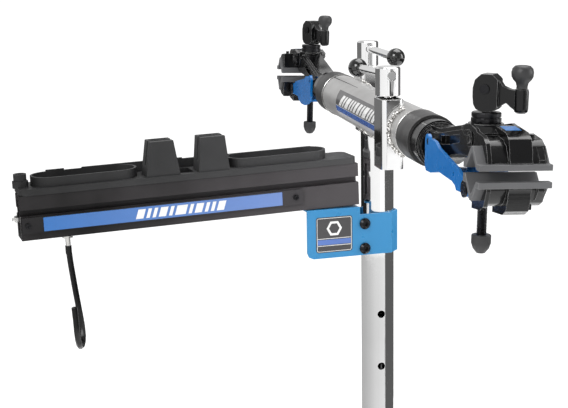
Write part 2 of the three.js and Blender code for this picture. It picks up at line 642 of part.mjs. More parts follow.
function buildBracket() {
  const { thick, low, high, postHigh, corner } = BRACKET;
  const inner = POST.outerR + GAP;
  const outer = inner + thick;
  const knee = (r) => r * Math.tan(22.5 * DEG);
  const end = boltX - BRACKET.tab;
  // the strap wraps round the front, right and back of the post
  const strap = prismZ([
    [end, -outer], [knee(outer), -outer], [outer, -knee(outer)], [outer, knee(outer)], [knee(outer), outer],
    [end, outer], [end, inner], [knee(inner), inner], [inner, knee(inner)], [inner, -knee(inner)],
    [knee(inner), -inner], [end, -inner],
  ], low, postHigh);
  const plate = prismY([
    [-beamNear, low], [-beamNear, high], [bracketLeft, high], [bracketLeft, low + corner],
    [bracketLeft + 0.3 * corner, low + 0.3 * corner], [bracketLeft + corner, low],
  ], -outer, -inner);
  const fold = box(bracketLeft, -beamNear - 1, -outer, -outer + BEAM.depth - 2, high - 2.4, high);
  const holes = BRACKET_BOLTS.z.map((z) => rodY(BRACKET_BOLTS.r + GAP, -60, 60, boltX, z, 16));
  return cut(join(strap, plate, fold), ...holes);
}

function buildBracketBolt(z) {
  const face = POST.outerR + GAP + BRACKET.thick + GAP;
  const head = rodY(BRACKET_BOLTS.headR, -face - BRACKET_BOLTS.headH * 0.4, -face, 0, 0, 32);
  const dome = solid(new THREE.CylinderGeometry(
    BRACKET_BOLTS.headR, BRACKET_BOLTS.headR * 0.62, BRACKET_BOLTS.headH * 0.6, 32));
  const crown = place(dome, 0, -face - BRACKET_BOLTS.headH * 0.7, 0);
  const socket = rodY(3.4, -face - BRACKET_BOLTS.headH - 1, -face - 1.6, 0, 0, 6);
  const nut = rodY(8.6, face, face + 7.5, 0, 0, 6);
  const body = join(rodY(BRACKET_BOLTS.r, -face - 1, face + 10, 0, 0, 16), head, crown, nut);
  return place(cut(body, socket), boltX, 0, z);
}

// the sagging group has its origin at the beam's lower right corner

function buildBeam() {
  const back = -beamFront + BEAM.depth;
  const top = BEAM.height;
  const slotLow = top - SLOT.fromTop - SLOT.width / 2;
  const slot = (y0, y1) => box(-BEAM.length - 1, 1, y0, y1, slotLow, slotLow + SLOT.width);
  const web = SLOT.depth + SLOT.web;
  return cut(
    box(-BEAM.length, 0, -beamFront, back, 0, top),
    slot(-beamFront - 1, -beamFront + SLOT.depth),
    slot(back - SLOT.depth, back + 1),
    box(-BEAM.length - 1, 1, -beamFront + web, back - web, 7, top - 7),
    rodZ(HOOK.stemR + GAP, -1, 8, HOOK.x, HOOK.y, 16),
  );
}

const stripTop = BEAM.height + STRIP.low;
const stripBottom = BEAM.height + STRIP.high;
const stripMid = (stripTop + stripBottom) / 2;
const screwPlaces = [STRIP.left + STRIP.screwIn - 3, STRIP.right - STRIP.screwIn];

function buildStrip() {
  const face = -beamFront - GAP;
  const front = face - STRIP.thick;
  const plate = box(STRIP.left, STRIP.right, front, face, stripBottom, stripTop);
  const recess = box(STRIP.left + 30, STRIP.right - 32, front - 1, front + STRIP.recess,
    stripBottom + 1, stripTop - 1);
  const holes = screwPlaces.map((x) => rodY(2.5, face - 9, face + 9, x, stripMid, 16));
  return cut(plate, recess, ...holes);
}

function buildStripScrew(x) {
  const face = -beamFront - GAP - STRIP.thick - GAP;
  const body = join(
    rodY(2.1, face - 1, -beamFront - 0.4, 0, 0, 16),
    rodY(4.3, face - 1.8, face, 0, 0, 16),
    rodY(3.4, face - 2.8, face - 1, 0, 0, 16),
  );
  const socket = rodY(1.7, face - 4, face - 1, 0, 0, 6);
  return place(cut(body, socket), x, 0, stripMid);
}

function buildEndBolt() {
  return place(join(
    rodX(3, -9, 10, 0, 0, 16),
    rodX(5.5, -5.5, -GAP, 0, 0, 6),
  ), -BEAM.length - GAP, -beamFront + BEAM.depth / 2, BEAM.height / 2 - 3);
}

function stadium(x0, x1, y0, y1, steps = 10) {
  const r = (y1 - y0) / 2;
  const cy = (y0 + y1) / 2;
  const points = [];
  for (let i = 0; i <= steps; i += 1) {
    const a = (-90 + (180 * i) / steps) * DEG;
    points.push([x1 - r + r * Math.cos(a), cy + r * Math.sin(a)]);
  }
  for (let i = 0; i <= steps; i += 1) {
    const a = (90 + (180 * i) / steps) * DEG;
    points.push([x0 + r + r * Math.cos(a), cy + r * Math.sin(a)]);
  }
  return points;
}

function buildUpright({ x, base, top }, floor) {
  const high = floor + UPRIGHT_HEIGHT;
  const front = -beamFront + 0.5;
  const slab = (y0, y1) => prismY([
    [x - base, floor - 3], [x + base, floor - 3], [x + top, high], [x - top, high],
  ], y0, y1);
  return join(
    slab(front, front + 11),
    slab(front + 18, front + 34),
    slab(front + 10, front + 19).subtract(box(x - 60, x + 60, front, front + 40, floor + 16, high + 1)),
  ).subtract(box(x - top + 4, x + top - 4, front + 22, front + 30, floor + 8, high + 1));
}

function buildTray() {
  const low = BEAM.height + GAP;
  const floor = low + TRAY.lip;
  const rim = floor + TRAY.wall;
  const inside = low + TRAY.floor;
  const { left, right, skin, back } = TRAY;
  const front = -beamFront - TRAY.over;
  const middle = [(left + right) / 2, (front + back) / 2];
  const deck = prismZ(roundRect(right - left, back - front, 12, ...middle), low, floor);
  const bowlFront = front + BOWLS.inset;
  const bowls = BOWLS.spans.map(([a, b]) => ({
    body: prismZ(stadium(a, b, bowlFront, back), floor - 1, rim),
    hollow: prismZ(stadium(a + skin, b - skin, bowlFront + skin, back - skin), inside, rim + 1),
  }));
  const backWall = box(BACK_WALL.left, BACK_WALL.right, back - skin, back, floor - 1, rim);
  const steps = BACK_WALL.steps.map(([a, b, rise]) => box(a, b, back - skin, back, floor, rim + rise));
  const { x, y, r, topR, boreR, shoulder, height } = TRAY_BOSS;
  const boss = join(
    rodZ(r, floor - 1, floor + shoulder, x, y, 32),
    rodZ(topR, floor + shoulder - 1, floor + height, x, y, 32),
  );
  const bossHollow = rodZ(boreR, floor + 2, floor + height + 1, x, y, 16);
  const peg = rodZ(7, floor - 1, floor + shoulder, x + 1, back - 12, 16);
  let tray = join(deck, ...bowls.map((bowl) => bowl.body), backWall, ...steps, boss, peg);
  tray = cut(tray, ...bowls.map((bowl) => bowl.hollow), bossHollow);
  for (const upright of UPRIGHTS) tray = tray.add(buildUpright(upright, floor));
  const well = prismZ(roundRect(WELL.width, WELL.depth, WELL.corner, WELL.x, WELL.y), inside, floor + 4);
  return tray.subtract(well);
}

function hookPath(points) {
  const places = points.map(([x, y, z]) => new THREE.Vector3(x, y, z));
  return new THREE.CatmullRomCurve3(places, false, 'centripetal');
}

function rodAlong(points, r, steps, sides) {
  const ring = [];
  for (let i = 0; i < sides; i += 1) {
    const a = (2 * Math.PI * i) / sides;
    ring.push([r * Math.cos(a), r * Math.sin(a)]);
  }
  const geometry = new THREE.ExtrudeGeometry(outline(ring), {
    steps, bevelEnabled: false, extrudePath: hookPath(points),
  });
  return solid(geometry);
}

function buildHookRod() {
  const stem = rodZ(HOOK.stemR, -29, 6.4, 0, 0, 16);
  return place(stem, HOOK.x, HOOK.y, 0);
}

function buildHookCoat() {
  const r = HOOK.coatR;
  const coat = rodAlong([[0, 0, -22], [1.5, 0, -45], [5, 1, -80], [9, 0, -118], [10.5, -5, -140],
    [9, -14, -157], [4, -26, -164], [-1, -38, -157], [-4, -46, -140], [-5, -49, -118],
    [-6, -50, -98]], r, 26, 8);
  const sleeve = rodZ(r + 0.3, -30, -18, 0, 0, 16);
  const bore = rodZ(HOOK.stemR + GAP, -29.6, -10, 0, 0, 16);
  return place(cut(join(coat, sleeve), bore), HOOK.x, HOOK.y, 0);
}

function buildHookNut() {
  const nut = hexZ(HOOK.nutR, -6.4, -GAP, HOOK.x, HOOK.y);
  return cut(nut, rodZ(HOOK.stemR + GAP, -10, 2, HOOK.x, HOOK.y, 16));
}

function buildTrayArm() {
  trayGroup.add(node('tray_bracket', 'blue', buildBracket()));
  BRACKET_BOLTS.z.forEach((z, i) => {
    trayGroup.add(node(`bracket_bolt_${i + 1}`, 'blackSteel', buildBracketBolt(z)));
  });
  sagging.add(
    node('tray_beam', 'anodised', buildBeam()),
    node('label_strip', 'blackSteel', buildStrip()),
    node('strip_screw_1', 'blackSteel', buildStripScrew(screwPlaces[0])),
    node('strip_screw_2', 'blackSteel', buildStripScrew(screwPlaces[1])),
    node('beam_end_bolt', 'zinc', buildEndBolt()),
    node('tool_tray', 'trayPlastic', buildTray()),
    node('hook_rod', 'zinc', buildHookRod()),
    node('hook_coating', 'gloss', buildHookCoat()),
    node('hook_nut', 'blackSteel', buildHookNut()),
  );
}

// ---------------------------------------------------------------- assembly
buildBase();
buildPost();
buildHeightBolt();
buildCrossTube();
for (const side of ['near', 'far']) {
  const group = half(side);
  buildBush(group, side);
  buildHousing(group, side);
  buildHandle(group, side);
  buildClamp(group, side);
}
buildTrayArm();

export default stand;
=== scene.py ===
"""Looks for the double-arm bike repair stand: materials, edges, seams, labels, light and camera."""
import bpy
import bmesh
import math
from mathutils import Matrix, Vector


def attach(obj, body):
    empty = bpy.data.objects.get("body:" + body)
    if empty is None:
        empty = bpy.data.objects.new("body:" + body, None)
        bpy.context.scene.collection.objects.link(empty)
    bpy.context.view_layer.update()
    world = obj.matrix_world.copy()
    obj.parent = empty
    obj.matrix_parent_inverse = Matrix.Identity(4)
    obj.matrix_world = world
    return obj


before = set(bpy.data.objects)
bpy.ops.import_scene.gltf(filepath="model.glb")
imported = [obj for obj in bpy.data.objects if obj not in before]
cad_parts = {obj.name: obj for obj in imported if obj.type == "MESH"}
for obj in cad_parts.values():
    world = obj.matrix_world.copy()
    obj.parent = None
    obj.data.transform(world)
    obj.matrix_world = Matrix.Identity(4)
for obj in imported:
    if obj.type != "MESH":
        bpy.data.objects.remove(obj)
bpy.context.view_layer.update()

MM = 0.001
AXIS_Z = 1.475                      # cross tube's axis above the floor
SIDES = ("near", "far")

# ---------------------------------------------------------------- materials


class Surface:
    """A Principled material with noise-driven colour, roughness and bump, in the object's own metres."""

    EDGE_SAMPLES = 4
    EDGE_TURN = (0.86, 0.995)           # how far a rounded normal leans on a full edge and on a flat

    def __init__(self, name, metallic=0.0, **constant):
        self.material = bpy.data.materials.new(name)
        self.material.use_nodes = True
        self.tree = self.material.node_tree
        self.shader = self.tree.nodes["Principled BSDF"]
        self.shader.inputs["Metallic"].default_value = metallic
        for socket, value in constant.items():
            self.shader.inputs[socket.replace("_", " ")].default_value = value
        self.place = self.tree.nodes.new("ShaderNodeTexCoord").outputs["Object"]
        self.height = None

    def link(self, source, target):
        self.tree.links.new(source, target)

    def noise(self, scale, detail=3.0):
        node = self.tree.nodes.new("ShaderNodeTexNoise")
        node.inputs["Scale"].default_value = scale
        node.inputs["Detail"].default_value = detail
        self.link(self.place, node.inputs["Vector"])
        return node.outputs["Fac"]

    def spread(self, value, low, high, start=0.3, end=0.7):
        node = self.tree.nodes.new("ShaderNodeMapRange")
        for socket, number in (("From Min", start), ("From Max", end), ("To Min", low), ("To Max", high)):
            node.inputs[socket].default_value = number
        self.link(value, node.inputs["Value"])
        return node.outputs["Result"]

    def mixed(self, factor, first, second):
        node = self.tree.nodes.new("ShaderNodeMix")
        node.data_type = "RGBA"
        self.link(factor, node.inputs["Factor"])
        for socket, colour in (("A", first), ("B", second)):
            target = [i for i in node.inputs if i.name == socket and i.type == "RGBA"][0]
            if isinstance(colour, tuple):
                target.default_value = (*colour, 1.0)
            else:
                self.link(colour, target)
        return [o for o in node.outputs if o.type == "RGBA"][0]

    def colour(self, value):
        self.link(value, self.shader.inputs["Base Color"])

    def rough(self, value):
        self.link(value, self.shader.inputs["Roughness"])

    def bump(self, value, distance, strength=1.0):
        node = self.tree.nodes.new("ShaderNodeBump")
        node.inputs["Distance"].default_value = distance
        node.inputs["Strength"].default_value = strength
        self.link(value, node.inputs["Height"])
        if self.height is not None:
            self.link(self.height, node.inputs["Normal"])
        self.height = node.outputs["Normal"]
        self.link(self.height, self.shader.inputs["Normal"])

    def along_x(self, start, end):
        """0 at one X in metres and 1 at the other."""
        split = self.tree.nodes.new("ShaderNodeSeparateXYZ")
        self.link(self.place, split.inputs["Vector"])
        return self.spread(split.outputs["X"], 0.0, 1.0, start, end)

    def times(self, first, second):
        node = self.tree.nodes.new("ShaderNodeMath")
        node.operation = "MULTIPLY"
        self.link(first, node.inputs[0])
        self.link(second, node.inputs[1])
        return node.outputs[0]

    def edges(self, radius):
        """0 on flats and up to 1 on edges, from the difference between the real and a rounded normal."""
        rounded = self.tree.nodes.new("ShaderNodeBevel")
        rounded.samples = self.EDGE_SAMPLES
        rounded.inputs["Radius"].default_value = radius
        flat = self.tree.nodes.new("ShaderNodeNewGeometry")
        dot = self.tree.nodes.new("ShaderNodeVectorMath")
        dot.operation = "DOT_PRODUCT"
        self.link(rounded.outputs["Normal"], dot.inputs[0])
        self.link(flat.outputs["Normal"], dot.inputs[1])
        return self.spread(dot.outputs["Value"], 1.0, 0.0, *self.EDGE_TURN)


BLOTCH = 9.0                        # noise scales of the colour, the gloss and the edge patches of wear and painted highlight
GLOSS_BLOTCH = 4.0 * BLOTCH
WEAR_AND_HIGHLIGHT_PATCHES = 70.0
WEAR_AND_HIGHLIGHT_RADIUS = 0.9 * MM


def painted(name, base, shade, rough, coat=0.0, grain=0.0, grain_scale=900.0, wear_and_highlight=None, **constant):
    """Paint, plastic or powder coat: two close shades, uneven gloss, a grain, and lighter edges that are
    partly wear and partly a painted highlight.
    """
    s = Surface(name, Coat_Weight=coat, Coat_Roughness=0.06, **constant)
    colour = s.mixed(s.spread(s.noise(BLOTCH), 0.0, 1.0), base, shade)
    if wear_and_highlight:
        patches = s.spread(s.noise(WEAR_AND_HIGHLIGHT_PATCHES, 4.0), 0.30, 1.0, 0.36, 0.56)
        colour = s.mixed(s.times(s.edges(WEAR_AND_HIGHLIGHT_RADIUS), patches), colour, wear_and_highlight)
    s.colour(colour)
    s.rough(s.spread(s.noise(GLOSS_BLOTCH, 4.0), *rough))
    if grain:
        s.bump(s.noise(grain_scale, 2.0), grain)
    return s.material


# blotch scale of the materials that carry a painted sheen
SHEEN_BLOTCH = 11.0


def sheen_painted_along_x(name, left, right, ends, rough, grain, grain_scale, **constant):
    """A colour with a painted sheen that grows paler along X from the beam's outer end to the post, with
    faint blotches over it.
    """
    s = Surface(name, **constant)
    colour = s.mixed(s.along_x(*ends), left, right)
    lighter = tuple(1.35 * value for value in right)
    s.colour(s.mixed(s.spread(s.noise(SHEEN_BLOTCH), 0.0, 0.22), colour, lighter))
    s.rough(s.spread(s.noise(4.0 * SHEEN_BLOTCH, 4.0), *rough))
    s.bump(s.noise(grain_scale, 2.0), grain)
    return s.material


STAIN = 14.0
POLISH = 60.0


def metal(name, base, shade, rough, depth=0.02 * MM):
    """Bare or plated metal with faint stains and an uneven polish."""
    s = Surface(name, metallic=1.0)
    s.colour(s.mixed(s.spread(s.noise(STAIN, 4.0), 0.0, 1.0), base, shade))
    polish = s.noise(POLISH, 4.0)
    s.rough(s.spread(polish, *rough))
    s.bump(polish, depth, 0.6)
    return s.material


def make_plastics():
    m = {}
    m["jaw_pad"] = painted("jaw_pad", (0.105, 0.106, 0.110), (0.080, 0.081, 0.085), (0.52, 0.68),
                           grain=0.12 * MM, grain_scale=1100.0, wear_and_highlight=(0.26, 0.26, 0.26))
    # the tray's colour holds a painted sheen, paler towards the post
    m["tray_plastic"] = sheen_painted_along_x("tray_plastic", (0.007, 0.007, 0.007), (0.062, 0.062, 0.064), (-0.52, 0.06),
                              (0.44, 0.58), 0.22 * MM, 900.0, Specular_IOR_Level=0.25)
    m["vinyl"] = painted("vinyl", (0.002, 0.002, 0.002), (0.004, 0.004, 0.004), (0.16, 0.26),
                         grain=0.08 * MM, grain_scale=300.0, Specular_IOR_Level=0.3)
    m["knob_plastic"] = painted("knob_plastic", (0.020, 0.020, 0.021), (0.030, 0.030, 0.031), (0.40, 0.54),
                                grain=0.10 * MM, grain_scale=1500.0, wear_and_highlight=(0.09, 0.09, 0.09))
    m["gloss_black"] = painted("gloss_black", (0.002, 0.002, 0.002), (0.004, 0.004, 0.004), (0.06, 0.11),
                               coat=0.6)
    m["bushing_grey"] = painted("bushing", (0.022, 0.021, 0.021), (0.015, 0.015, 0.015), (0.36, 0.50),
                                grain=0.06 * MM, grain_scale=1400.0, wear_and_highlight=(0.10, 0.10, 0.10))
    return m


def make_paints():
    m = {}
    m["tube_grey"] = painted("satin_silver", (0.42, 0.415, 0.41), (0.37, 0.365, 0.36), (0.30, 0.40),
                             grain=0.03 * MM, grain_scale=1800.0, Metallic=0.55)
    # the castings' pale edge colour is partly wear and mostly a painted highlight along their edges
    m["cast_black"] = painted("cast_black", (0.0016, 0.0016, 0.0018), (0.0030, 0.0030, 0.0034),
                              (0.12, 0.24), grain=0.09 * MM, grain_scale=240.0, wear_and_highlight=(0.32, 0.32, 0.32),
                              Specular_IOR_Level=0.36)
    m["blue_paint"] = painted("blue_paint", (0.020, 0.205, 0.440), (0.028, 0.225, 0.470), (0.26, 0.36),
                              grain=0.04 * MM, grain_scale=420.0, wear_and_highlight=(0.10, 0.34, 0.62))
    m["base_black"] = painted("base_black", (0.012, 0.012, 0.013), (0.020, 0.020, 0.021), (0.40, 0.58),
                              grain=0.30 * MM, grain_scale=500.0, wear_and_highlight=(0.07, 0.07, 0.07))
    # the beam's and the strip's colours hold a painted sheen, paler towards the post
    m["anodised_black"] = sheen_painted_along_x("anodised", (0.0030, 0.0029, 0.0026), (0.076, 0.070, 0.074), (-0.46, 0.03),
                                (0.30, 0.40), 0.03 * MM, 2200.0, Specular_IOR_Level=0.18)
    m["strip_black"] = sheen_painted_along_x("strip_black", (0.003, 0.003, 0.003), (0.060, 0.056, 0.060), (-0.46, 0.03),
                             (0.28, 0.38), 0.02 * MM, 2200.0, Specular_IOR_Level=0.2)
    return m


def make_metals():
    m = {}
    m["chrome"] = metal("chrome", (0.93, 0.93, 0.93), (0.87, 0.87, 0.87), (0.03, 0.08), depth=0.006 * MM)
    m["zinc"] = metal("zinc", (0.72, 0.71, 0.68), (0.60, 0.60, 0.60), (0.16, 0.34))
    m["plain_steel"] = metal("plain_steel", (0.52, 0.51, 0.49), (0.40, 0.39, 0.38), (0.22, 0.42))
    m["black_steel"] = metal("black_oxide", (0.040, 0.040, 0.042), (0.022, 0.022, 0.024), (0.22, 0.36))
    return m


materials = {**make_plastics(), **make_paints(), **make_metals()}
LINK_BLUE = painted("link_blue", (0.001, 0.118, 0.385), (0.004, 0.135, 0.420), (0.20, 0.30),
                    grain=0.04 * MM, grain_scale=420.0, wear_and_highlight=(0.06, 0.26, 0.60))

NODE_LOOK = {
    "base_plate": "base_black", "column_sleeve": "base_black", "post": "chrome", "cross_tube": "tube_grey",
    "height_bolt": "zinc", "height_nut": "zinc",
    "tray_bracket": "blue_paint", "bracket_bolt_1": "black_steel", "bracket_bolt_2": "black_steel",
    "tray_beam": "anodised_black", "label_strip": "strip_black", "strip_screw_1": "black_steel",
    "strip_screw_2": "black_steel", "beam_end_bolt": "zinc", "tool_tray": "tray_plastic",
    "hook_rod": "zinc", "hook_coating": "vinyl", "hook_nut": "zinc",
    "flange_bolt_1": "zinc", "flange_bolt_2": "zinc", "flange_bolt_3": "zinc", "flange_bolt_4": "zinc",
}
SIDE_LOOK = {
    "end_bushing": "bushing_grey", "lock_housing": "chrome", "lock_shoe": "plain_steel",
    "lock_screw": "chrome", "lock_bar": "chrome", "lock_ball": "gloss_black", "clamp_arm": "cast_black",
    "upper_pad": "jaw_pad", "jaw_link": "blue_paint", "link_pin": "black_steel", "jaw_pin": "black_steel",
    "lower_jaw": "cast_black", "lower_pad": "jaw_pad", "clamp_rod": "black_steel",
    "rod_cap": "knob_plastic", "thrust_washer": "black_steel", "cam_lever": "cast_black",
    "cam_pin": "black_steel", "crank_knob": "knob_plastic",
}
EDGE = {"base_plate": 1.5, "tool_tray": 0.9, "tray_bracket": 0.5}     # rounding widths in millimetres
CAST_EDGE = 0.8
PLAIN_EDGE = 0.4
EDGE_ANGLE = math.radians(34.0)


def soften(obj, width):
    """Joins the split facets, merges flat ones and rounds the hard edges, leaving the mesh itself alone."""
    obj.data.polygons.foreach_set("use_smooth", [True] * len(obj.data.polygons))
    if obj.data.has_custom_normals:
        obj.data.attributes.remove(obj.data.attributes["custom_normal"])
    weld = obj.modifiers.new("weld", "WELD")
    weld.merge_threshold = 0.005 * MM
    flats = obj.modifiers.new("flats", "DECIMATE")
    flats.decimate_type = "DISSOLVE"
    flats.angle_limit = math.radians(0.6)
    bevel = obj.modifiers.new("bevel", "BEVEL")
    bevel.width = width * MM
    bevel.segments = 2
    bevel.limit_method = "ANGLE"
    bevel.angle_limit = EDGE_ANGLE
    bevel.use_clamp_overlap = True
    shade = obj.modifiers.new("shade", "WEIGHTED_NORMAL")
    shade.keep_sharp = True


def dress_nodes():
    looks = dict(NODE_LOOK)
    for side in SIDES:
        for name, slot in SIDE_LOOK.items():
            looks[f"{side}_{name}"] = slot
    for name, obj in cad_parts.items():
        slot = looks[name]
        obj.data.materials.clear()
        obj.data.materials.append(LINK_BLUE if name.endswith("jaw_link") else materials[slot])
        soften(obj, EDGE.get(name, CAST_EDGE if slot == "cast_black" else PLAIN_EDGE))


dress_nodes()

# ---------------------------------------------------------------- places, in millimetres

TUBE_R = 34.3                       # cross tube's radius and half its length
TUBE_HALF = 247.0
POST_R = 25.4
BUSH_R = 35.2
SHARP = math.radians(40.0)
CLAMP_ROLL = math.radians(1.8)
TRAY_YAW = math.radians(8.3)
TRAY_DROOP = math.radians(1.7)
BEAM_NEAR = 40.0
BEAM_TOP = -71.5
BEAM_HEIGHT = 64.0
PLATE_FRONT = -28.75                # front of the bracket's plate
HOUSING_OUT = 187.0                 # lock housing's middle from the post, and its sizes
HOUSING_HALF_DEPTH = 25.0
HOUSING_INSIDE = 13.0
ROD_OUT = 278.0                     # clamp rod's axis, out from the tube's end


def axis_frame(side="near"):
    turn = Matrix.Rotation(0.0 if side == "near" else math.pi, 4, "Z")
    return Matrix.Translation((0, 0, AXIS_Z)) @ turn @ Matrix.Scale(MM, 4)


def clamp_frame(side):
    roll = CLAMP_ROLL if side == "near" else -CLAMP_ROLL
    return axis_frame(side) @ Matrix.Translation((0, -TUBE_HALF, 0)) @ Matrix.Rotation(roll, 4, "Y")


def tray_frame():
    return axis_frame() @ Matrix.Rotation(TRAY_YAW, 4, "Z")


def beam_frame():
    corner = Matrix.Translation((-BEAM_NEAR, 0, BEAM_TOP - BEAM_HEIGHT))
    return tray_frame() @ corner @ Matrix.Rotation(-TRAY_DROOP, 4, "Y")


def piece(name, form, slot, body, place, material=None):
    """Makes an object of a bmesh drawn in millimetres and puts it on its body."""
    bmesh.ops.recalc_face_normals(form, faces=form.faces)
    mesh = bpy.data.meshes.new(name)
    form.to_mesh(mesh)
    form.free()
    mesh.transform(place)
    mesh.polygons.foreach_set("use_smooth", [True] * len(mesh.polygons))
    mesh.set_sharp_from_angle(angle=SHARP)
    obj = bpy.data.objects.new(name, mesh)
    bpy.context.scene.collection.objects.link(obj)
    mesh.materials.append(material or materials[slot])
    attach(obj, body)


def add_tube(form, path, radius_at, sides=10):
    """A closed tube along points; radius_at(i) is its radius at point i."""
    rings = []
    for i, point in enumerate(path):
        ahead = path[min(i + 1, len(path) - 1)] - path[max(i - 1, 0)]
        turn = ahead.to_track_quat("Z", "Y")
        ring = []
        for k in range(sides):
            angle = 2 * math.pi * k / sides
            spoke = turn @ Vector((math.cos(angle), math.sin(angle), 0))
            ring.append(form.verts.new(point + spoke * radius_at(i)))
        rings.append(ring)
    for first, second in zip(rings, rings[1:]):
        for k in range(sides):
            form.faces.new((first[k], first[(k + 1) % sides], second[(k + 1) % sides], second[k]))
    form.faces.new(rings[0][::-1])
    form.faces.new(rings[-1])


def add_slab(form, outline, low, high):
    """A prism on an outline of (x, z) points, between two y values."""
    back = [form.verts.new((x, high, z)) for x, z in outline]
    front = [form.verts.new((x, low, z)) for x, z in outline]
    form.faces.new(back)
    form.faces.new(front[::-1])
    for i in range(len(outline)):
        j = (i + 1) % len(outline)
        form.faces.new((back[i], back[j], front[j], front[i]))


def add_wrap(form, radius, edge_a, edge_b, steps=14, thick=0.12):
    """A thin skin on the cross tube between two edges, equal lists of (angle in degrees, y)."""
    def point(angle, y, r):
        a = math.radians(angle)
        return form.verts.new((r * math.cos(a), y, r * math.sin(a)))
    rows = []
    for (a0, y0), (a1, y1) in zip(edge_a, edge_b):
        row = []
        for i in range(steps + 1):
            t = i / steps
            row.append((a0 + (a1 - a0) * t, y0 + (y1 - y0) * t))
        rows.append(row)
    outer = [[point(a, y, radius + thick) for a, y in row] for row in rows]
    inner = [[point(a, y, radius) for a, y in row] for row in rows]
    last = len(rows) - 1
    for i in range(last):
        for j in range(steps):
            form.faces.new((outer[i][j], outer[i][j + 1], outer[i + 1][j + 1], outer[i + 1][j]))
            form.faces.new((inner[i][j], inner[i + 1][j], inner[i + 1][j + 1], inner[i][j + 1]))
    for j in range(steps):
        form.faces.new((outer[0][j], inner[0][j], inner[0][j + 1], outer[0][j + 1]))
        form.faces.new((outer[last][j], outer[last][j + 1], inner[last][j + 1], inner[last][j]))
    for i in range(last):
        form.faces.new((outer[i][0], outer[i + 1][0], inner[i + 1][0], inner[i][0]))
        form.faces.new((outer[i][steps], inner[i][steps], inner[i + 1][steps], outer[i + 1][steps]))


def add_ring(form, outer, inner, low, high):
    """A flat frame between two equal lists of (x, z) points, between two y values."""
    def loop(points, y):
        return [form.verts.new((x, y, z)) for x, z in points]
    a, b, c, d = loop(outer, low), loop(inner, low), loop(inner, high), loop(outer, high)
    for i in range(len(outer)):
        j = (i + 1) % len(outer)
        for first, second in ((a, b), (b, c), (c, d), (d, a)):
            form.faces.new((first[i], first[j], second[j], second[i]))


def rounded(x0, x1, z0, z1, radius, steps=5):
    """A rectangle's outline with round corners."""
    points = []
    for cx, cz, start in ((x1, z1, 0), (x0, z1, 90), (x0, z0, 180), (x1, z0, 270)):
        ix = cx - radius if cx == x1 else cx + radius
        iz = cz - radius if cz == z1 else cz + radius
        for i in range(steps + 1):
            a = math.radians(start + 90 * i / steps)
            points.append((ix + radius * math.cos(a), iz + radius * math.sin(a)))
    return points


# ---------------------------------------------------------------- print colours, a painted sheen and a painted shade line


def print_ink(name, base, shade, rough=(0.16, 0.24)):
    return painted(name, base, shade, rough, coat=0.3)


def sheen_painted_label_blue():
    """The long label's blue, with a painted sheen that makes it paler towards the post."""
    s = Surface("label_blue", Coat_Weight=0.4, Coat_Roughness=0.05)
    # the blue grows paler towards the post: a painted sheen
    plain = s.mixed(s.along_x(-0.52, -0.16), (0.004, 0.110, 0.360), (0.130, 0.215, 0.480))
    s.colour(s.mixed(s.spread(s.noise(22.0), 0.0, 0.12), plain, (0.05, 0.20, 0.60)))
    s.rough(s.spread(s.noise(60.0), 0.14, 0.24))
    return s.material


INK_WHITE = print_ink("ink_white", (0.80, 0.80, 0.79), (0.72, 0.72, 0.71))
INK_DARK = print_ink("ink_charcoal", (0.040, 0.038, 0.040), (0.052, 0.050, 0.052), (0.30, 0.40))
INK_BLUE = print_ink("ink_blue", (0.060, 0.130, 0.400), (0.100, 0.190, 0.500))
INK_PALE = print_ink("ink_pale", (0.50, 0.50, 0.52), (0.60, 0.60, 0.62), (0.28, 0.36))
# a painted shade colour for the dark of the tube's slit
SLIT_SHADE_BLACK = print_ink("slit_shade_black", (0.008, 0.008, 0.009), (0.012, 0.012, 0.013))
LABEL_BLUE = sheen_painted_label_blue()


def weld_metal():
    """Plated weld bead: crumpled, bright, darker in the hollows."""
    s = Surface("weld", metallic=1.0)
    lumps = s.noise(420.0, 3.0)
    s.colour(s.mixed(s.spread(lumps, 0.0, 1.0, 0.40, 0.60), (0.16, 0.15, 0.14), (0.88, 0.87, 0.85)))
    s.rough(s.spread(s.noise(800.0), 0.12, 0.34))
    s.bump(lumps, 1.2 * MM, 0.9)
    return s.material


WELD = weld_metal()

# ---------------------------------------------------------------- welds


HOUSING_BEAD = 3.3                  # bead radii
POST_BEAD = 2.6
RIPPLES = ((0.17, 1.13, 0.0), (0.13, 0.47, 1.0), (0.08, 2.6, 0.0))     # share of the radius, pace, start


def ripple(i, radius):
    return radius * (1.0 + sum(share * math.sin(pace * i + start) for share, pace, start in RIPPLES))


def housing_welds():
    """Beads where the tube passes the two open faces of each lock housing."""
    inside = math.acos(HOUSING_INSIDE / TUBE_R)
    reach = TUBE_R + 1.4
    count = 80
    for side in SIDES:
        form = bmesh.new()
        for face in (-1, 1):
            y = -HOUSING_OUT + face * (HOUSING_HALF_DEPTH + 1.2)
            path = []
            for i in range(count + 1):
                angle = math.pi - inside + 2 * inside * i / count
                path.append(Vector((reach * math.cos(angle), y, reach * math.sin(angle))))
            add_tube(form, path, lambda i: ripple(i, HOUSING_BEAD))
        piece(f"{side}_housing_weld", form, "chrome", "mast", axis_frame(side), WELD)


def post_weld():
    """The saddle-shaped bead between the post and the cross tube."""
    form = bmesh.new()
    path = []
    count = 96
    reach = POST_R + 1.2
    for i in range(count + 1):
        angle = 2 * math.pi * i / count
        x, y = reach * math.cos(angle), reach * math.sin(angle)
        path.append(Vector((x, y, -math.sqrt((TUBE_R + 0.8) ** 2 - x * x))))
    add_tube(form, path, lambda i: ripple(i, POST_BEAD))
    piece("post_weld", form, "chrome", "mast", axis_frame(), WELD)


# ---------------------------------------------------------------- rod threads


